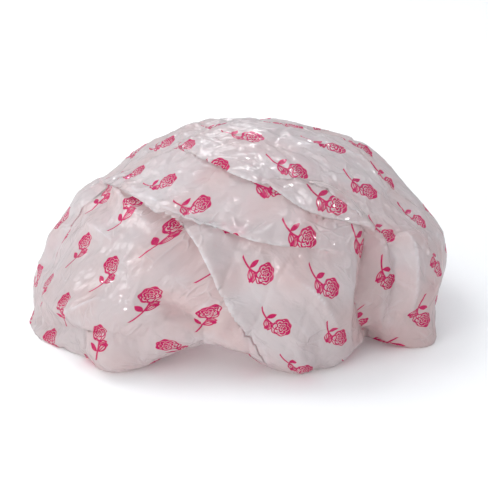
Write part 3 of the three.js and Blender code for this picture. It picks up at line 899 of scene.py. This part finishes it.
# Ink of the flat film as a share of 0 to 1: each shape is a distance, positive inside it, and the
# greatest of them is cut to a soft edge.
def printShare(tree):
    uv = addNode(tree, "UVMap", uv_map="flatFilm")
    split = addNode(tree, "SeparateXYZ", {"Vector": uv.outputs["UV"]})
    u = (Term(tree, split.outputs["X"]) - 0.5) * (2 * discRadius)
    v = (Term(tree, split.outputs["Y"]) - 0.5) * (2 * discRadius)
    row = v.math("DIVIDE", sprig["rowStep"]).math("FLOOR")
    shifted = u + row.math("FLOORED_MODULO", 2.0) * (sprig["columnStep"] / 2)
    cellU = shifted.math("FLOORED_MODULO", sprig["columnStep"]) - sprig["columnStep"] / 2
    cellV = v.math("FLOORED_MODULO", sprig["rowStep"]) - sprig["rowStep"] / 2

    # place seen from a middle, on axes turned by an angle
    def turned(x, y, middle, angle):
        dx, dy = x - middle[0], y - middle[1]
        c, s = float(np.cos(angle)), float(np.sin(angle))
        return dx * c + dy * s, dy * c - dx * s

    a, b = (way * (1 / sprig["scale"]) for way in turned(cellU, cellV, (0, 0), sprig["tilt"]))

    # rose: a scalloped disc, with rows of ruffled petals parted by thin bare lines
    p, q = a - sprig["rosePlace"][0], b - sprig["rosePlace"][1]
    radius = (p * p + q * q).math("SQRT")
    angle = q.math("ARCTAN2", p)
    many, few = ((angle * count + phase).math("COSINE") for count, phase in sprig["scallops"])
    rim = (many * sprig["scallop"] + few * sprig["scallop"] + sprig["rim"]) * sprig["roseRadius"]
    rowOf = radius.math("DIVIDE", sprig["petalStep"]).math("FLOOR")
    count = rowOf * sprig["petals"][1] + sprig["petals"][0]
    ruffled = (angle * count + rowOf * rowOf * sprig["petalTwist"]).math("SINE").math("ABSOLUTE")
    winding = radius + angle * (sprig["petalStep"] / (2 * np.pi))
    petal = (winding - ruffled * sprig["ruffle"]).math("FLOORED_MODULO", sprig["petalStep"])
    bare = (p + q) * (sprig["petalShade"] / sprig["roseRadius"]) + sprig["petalGap"]
    petals = petal - bare * sprig["petalStep"]
    ink = (rim - radius).math("MINIMUM", petals.math("MAXIMUM", radius - rim + sprig["rimLine"]))

    # stem: a stroke along a parabola
    along = a - sprig["stemLow"][0]
    slope = along * (2 * sprig["stemCurve"])
    steep = (slope * slope + 1.0).math("SQRT")
    off = (b - sprig["stemLow"][1] - along * along * sprig["stemCurve"]).math("ABSOLUTE")
    stem = -(off.math("DIVIDE", steep) - sprig["stemWidth"] / 2)
    ink = ink.math("MAXIMUM", stem.math("MINIMUM", a - sprig["stemStart"]).math("MINIMUM", -along))

    # leaves: parabola-sided blades, full or with only rim and midrib inked
    for leaves, full in ((sprig["openLeaves"], False), (sprig["fullLeaves"], True)):
        for place, lean, length, width in leaves:
            x, y = turned(a, b, place, np.radians(lean))
            side = y.math("ABSOLUTE")
            blade = (x * x * (-4 / length**2) + 1.0) * (width / 2) - side
            if not full:
                line = -(blade - sprig["leafRim"][0]).math("ABSOLUTE") + sprig["leafRim"][1]
                line = (-side + sprig["midrib"]).math("MAXIMUM", line)
                blade = blade.math("MINIMUM", line)
            ink = ink.math("MAXIMUM", blade)
    soft = addNode(tree, "Clamp", {"Value": ink * (1 / sprig["edge"]) + 0.5})
    return Term(tree, soft.outputs[0]), u, v


filmLook = {
    "milk": (0.685, 0.65, 0.653, 1),
    "blushAndShade": (0.70, 0.575, 0.565, 1),  # pink where more film and print lie behind, and the colour of painted shade in hollows and on the lower right
    "ink": (0.60, 0.002, 0.105, 1),
    "surface": {
        "Roughness": 0.42,
        "Specular IOR Level": 0.4,
        "Transmission Weight": 0.3,  # share of the body that shows, blurred, what lies behind
        "IOR": 1.15,
        "Coat Weight": 0.75,
        "Coat Roughness": 0.08,
    },
    "glow": 0.36,  # share of the light that comes through
    "whiteAndHighlight": (0.93, 0.93, 0.95, 1),  # where the film is stretched along a crease, and a painted highlight along edges and creases
    "grain": np.radians(-30),  # direction of the fine streaks and creases on the flat film
    # patterns: repeats per millimetre both ways, and shifts
    "wander": (0.03, 0.03, 0, 0),
    "longNet": (0.017, 0.07, 0, 0),
    "shortNet": (0.045, 0.09, 0, 0),
    "netPatches": (0.04, 0.04, 7, 0),
    "brokenEdges": (0.12, 0.12, 0, 0),
    "farPrint": (0.03, 0.036, 0.4, 0),
    "patchy": (0.014, 0.026, 0, 0),
    "streaks": (0.02, 0.16, 0, 0),
    "dentPatches": (0.03, 0.03, 0, 3),
    "dents": (0.17, 0.26, 0, 0),
    "crinkles": (0.4, 0.55, 0, 0),
    # where in a pattern its marks begin and where they are full
    "cuts": {
        "netPatches": (0.48, 0.6),
        "brokenEdges": (0.34, 0.5),
        "netLines": (0, 0.04),
        "netGrooves": (0, 0.06),
        "farPrint": (0, 0.4),
        "patchy": (0.46, 0.68),
        "dentPatches": (0.42, 0.6),
    },
    "wanderReach": 30,  # how far the nets of creases wander, in millimetres
    "shortWander": 0.5,  # share of that in the short net, across it
    "farPrintSize": 0.5,  # radius of a blotch, in repeats
    # shares of colour; the white of edges and net is partly a painted highlight
    "edgeWhiteAndHighlight": 0.85,
    "netWhiteAndHighlight": 0.25,
    "farPrintPink": 0.7,
    "patchyPink": 0.45,
    "inkSpeckle": 0.2,
    # heights of bump, in millimetres
    "streakBump": 0.8,
    "netBump": 0.45,
    "dentBump": 0.7,
    "crinkleBump": 0.18,
    "leastDents": 0.3,  # share of their height between the patches
}


# Milky film: matte body with a thin gloss on top, part of the light let through. The bump is in
# millimetres: streaks along the grain, a net of sharp creases, and patches of small dents.
def filmMaterial():
    material, tree = newMaterial("milky_film")
    ink, u, v = printShare(tree)
    c, s = float(np.cos(filmLook["grain"])), float(np.sin(filmLook["grain"]))
    along, across = u * c + v * s, v * c - u * s

    def vector(x, y):
        return addNode(tree, "CombineXYZ", {"X": x, "Y": y}).outputs[0]

    def noise(place, detail):
        node = addNode(tree, "TexNoise", {"Vector": place, "Scale": 1, "Detail": detail})
        return Term(tree, node.outputs["Fac"])

    def cells(place, feature):
        node = addNode(tree, "TexVoronoi", {"Vector": place, "Scale": 1}, feature=feature)
        return Term(tree, node.outputs["Distance"])

    # straight rise from 0 to 1
    def cut(term, name):
        low, high = filmLook["cuts"][name]
        return ((term - low) * (1 / (high - low))).math("MAXIMUM", 0.0).math("MINIMUM", 1.0)

    def blend(factor, first, second):
        sockets = {"Factor": factor, "A": first, "B": second}
        return addNode(tree, "Mix", sockets, data_type="RGBA").outputs["Result"]

    # value that the film's points carry
    def layer(name):
        return Term(tree, addNode(tree, "Attribute", attribute_name=name).outputs["Fac"])

    # place in a pattern
    def scaled(name, x, y):
        perX, perY, shiftX, shiftY = filmLook[name]
        return vector(x * perX + shiftX, y * perY + shiftY)

    # where creases whiten the film: partly stress whitening, partly a painted highlight along edges and
    # creases
    wander = noise(scaled("wander", u, v), 2) * filmLook["wanderReach"]
    longNet = cells(scaled("longNet", along + wander, across + wander), "DISTANCE_TO_EDGE")
    shorter = scaled("shortNet", u - wander, v + wander * filmLook["shortWander"])
    net = longNet.math("MINIMUM", cells(shorter, "DISTANCE_TO_EDGE"))
    shown = cut(noise(scaled("netPatches", u, v), 2), "netPatches")
    broken = cut(noise(scaled("brokenEdges", u, v), 3), "brokenEdges")
    edges = layer("shine") * layer("shine") * broken
    whiteAndHighlight = edges.math("MAXIMUM", (-cut(net, "netLines") + 1.0) * shown * filmLook["netWhiteAndHighlight"])

    # where print and film behind show through
    inside = -cells(scaled("farPrint", u, v), "F1") + filmLook["farPrintSize"]
    behind = cut(inside, "farPrint") * filmLook["farPrintPink"]
    patchy = cut(noise(scaled("patchy", along, across), 2), "patchy") * filmLook["patchyPink"]
    # the 'hollow' values bring in the painted shade of hollows and of the lower right
    blushAndShade = (patchy + layer("hollow") + behind).math("MINIMUM", 1.0)
    body = blend(blushAndShade, filmLook["milk"], filmLook["blushAndShade"])
    body = blend(whiteAndHighlight * filmLook["edgeWhiteAndHighlight"], body, filmLook["whiteAndHighlight"])
    speckle = filmLook["inkSpeckle"]
    colour = blend(ink * (noise(vector(u, v), 2) * speckle + (1 - speckle / 2)), body, filmLook["ink"])

    # bump
    streaks = noise(scaled("streaks", along, across), 6) * filmLook["streakBump"]
    creased = -cut(net, "netGrooves") * shown * filmLook["netBump"]
    least = filmLook["leastDents"]
    patches = cut(noise(scaled("dentPatches", u, v), 2), "dentPatches") * (1 - least) + least
    dents = cells(scaled("dents", along, across), "F1") * patches * filmLook["dentBump"]
    crinkles = cells(scaled("crinkles", along, across), "F1") * patches * filmLook["crinkleBump"]
    height = streaks + creased + dents + crinkles
    normal = addNode(tree, "Bump", {"Strength": 1, "Distance": mm, "Height": height}).outputs["Normal"]

    patterned = {"Base Color": colour, "Normal": normal, "Coat Normal": normal}
    gloss = addNode(tree, "BsdfPrincipled", filmLook["surface"] | patterned)
    glow = addNode(tree, "BsdfTranslucent", {"Color": colour})
    shaders = {"Fac": filmLook["glow"], 1: gloss.outputs[0], 2: glow.outputs[0]}
    mix = addNode(tree, "MixShader", shaders)
    addNode(tree, "OutputMaterial", {"Surface": mix.outputs[0]})
    return material


capFilm.data.materials.append(filmMaterial())
print("film finished")


yarnLook = {
    "elastic": ("ribbed_elastic", (0.72, 0.70, 0.67, 1), 1800),  # name, colour, grains per metre
    "thread": ("sewing_thread", (0.80, 0.76, 0.77, 1), 3000),
    "roughness": 0.8,
    "bump": 0.6,
    "bumpHeight": 0.3,
}


# Woven or twisted yarn: a pale colour with a fine noise of bump.
def yarnMaterial(name, colour, scale):
    material, tree = newMaterial(name)
    coords = addNode(tree, "TexCoord")
    grain = addNode(tree, "TexNoise", {"Vector": coords.outputs["Object"], "Scale": scale})
    strength, distance = yarnLook["bump"], yarnLook["bumpHeight"] * mm
    sockets = {"Strength": strength, "Distance": distance, "Height": grain.outputs["Fac"]}
    normal = addNode(tree, "Bump", sockets).outputs["Normal"]
    sockets = {"Base Color": colour, "Roughness": yarnLook["roughness"], "Normal": normal}
    surface = addNode(tree, "BsdfPrincipled", sockets)
    addNode(tree, "OutputMaterial", {"Surface": surface.outputs[0]})
    return material


yarns = {slot: yarnMaterial(*yarnLook[slot]) for slot in ("elastic", "thread")}
for piece, _, slot in hiddenPieces:
    piece.data.materials.append(yarns[slot])
print("yarns finished")

studio = {
    "floorSize": 6,
    "floorColour": (0.86, 0.855, 0.85, 1),
    "floorRoughness": 0.8,
    "sky": (0.84, 0.92, 1.0, 1),
    "walls": (1.0, 0.955, 0.93, 1),
    "skyStrength": 1.1,
    "wallStrength": 0.77,
    "seenStrength": 1.05,  # of the background itself
    # place, size and power of each lamp, in metres and watts
    "softLamps": [
        ("top_left", (-0.6, 0.35, 1.1), 0.8, 6.5),
        ("front_left", (-0.8, -1.0, 0.3), 0.8, 9),
        ("low_left", (-0.75, -0.75, 0.15), 0.25, 1.2),
    ],
    # lamps that only glint in the film
    "glintLamps": [
        ("sheen_back", (-0.1, 1.0, 0.75), 0.35, 3),
        ("sheen_left", (-1.0, 0.25, 0.65), 0.35, 3),
        ("sheen_top", (0.25, 0.05, 1.2), 0.35, 2.5),
        ("sheen_right", (1.0, -0.1, 0.6), 0.35, 2.5),
        ("glint_back_left", (-0.45, 0.8, 0.9), 0.05, 3),
        ("glint_back", (0.1, 0.9, 0.95), 0.05, 3),
        ("glint_top", (0.15, 0.2, 1.2), 0.05, 3),
        ("glint_left", (-0.9, -0.1, 0.8), 0.05, 3),
        ("glint_front_left", (-0.5, -0.75, 0.95), 0.05, 3),
        ("glint_right", (0.85, 0.3, 0.8), 0.05, 3),
    ],
}


# Pale floor, lamps that face the cap, and a world that goes from walls to sky with the height of a ray.
def addStudio():
    bpy.ops.mesh.primitive_plane_add(size=studio["floorSize"])
    floor = bpy.context.object
    floor.name = "floor"
    material, tree = newMaterial("pale_floor")
    sockets = {"Base Color": studio["floorColour"], "Roughness": studio["floorRoughness"]}
    surface = addNode(tree, "BsdfPrincipled", sockets)
    addNode(tree, "OutputMaterial", {"Surface": surface.outputs[0]})
    floor.data.materials.append(material)
    for kind, glints in (("softLamps", False), ("glintLamps", True)):
        for name, place, size, power in studio[kind]:
            data = bpy.data.lights.new(name, "AREA")
            data.size, data.energy = size, power
            lamp = bpy.data.objects.new(name, data)
            bpy.context.scene.collection.objects.link(lamp)
            lamp.visible_glossy = glints
            lamp.visible_diffuse = not glints
            lamp.visible_transmission = not glints
            lamp.location = place
            lamp.rotation_euler = (-Vector(place)).to_track_quat("-Z", "Y").to_euler()
    world = bpy.data.worlds.new("studio")
    bpy.context.scene.world = world
    world.use_nodes = True
    tree = world.node_tree
    background = tree.nodes["Background"]
    coords = addNode(tree, "TexCoord")
    split = addNode(tree, "SeparateXYZ", {"Vector": coords.outputs["Generated"]})
    height = Term(tree, split.outputs["Z"]).math("MAXIMUM", 0.0)
    sockets = {"Factor": height, "A": studio["walls"], "B": studio["sky"]}
    colour = addNode(tree, "Mix", sockets, data_type="RGBA")
    tree.links.new(colour.outputs["Result"], background.inputs["Color"])
    strength = height * (studio["skyStrength"] - studio["wallStrength"]) + studio["wallStrength"]
    seen = addNode(tree, "LightPath")
    seenStrength = Term(tree, seen.outputs["Is Camera Ray"]) * studio["seenStrength"]
    strength = strength.math("MAXIMUM", seenStrength)
    tree.links.new(strength.socket, background.inputs["Strength"])


addStudio()
bpy.context.scene.view_settings.view_transform = "Standard"
print("studio lit")
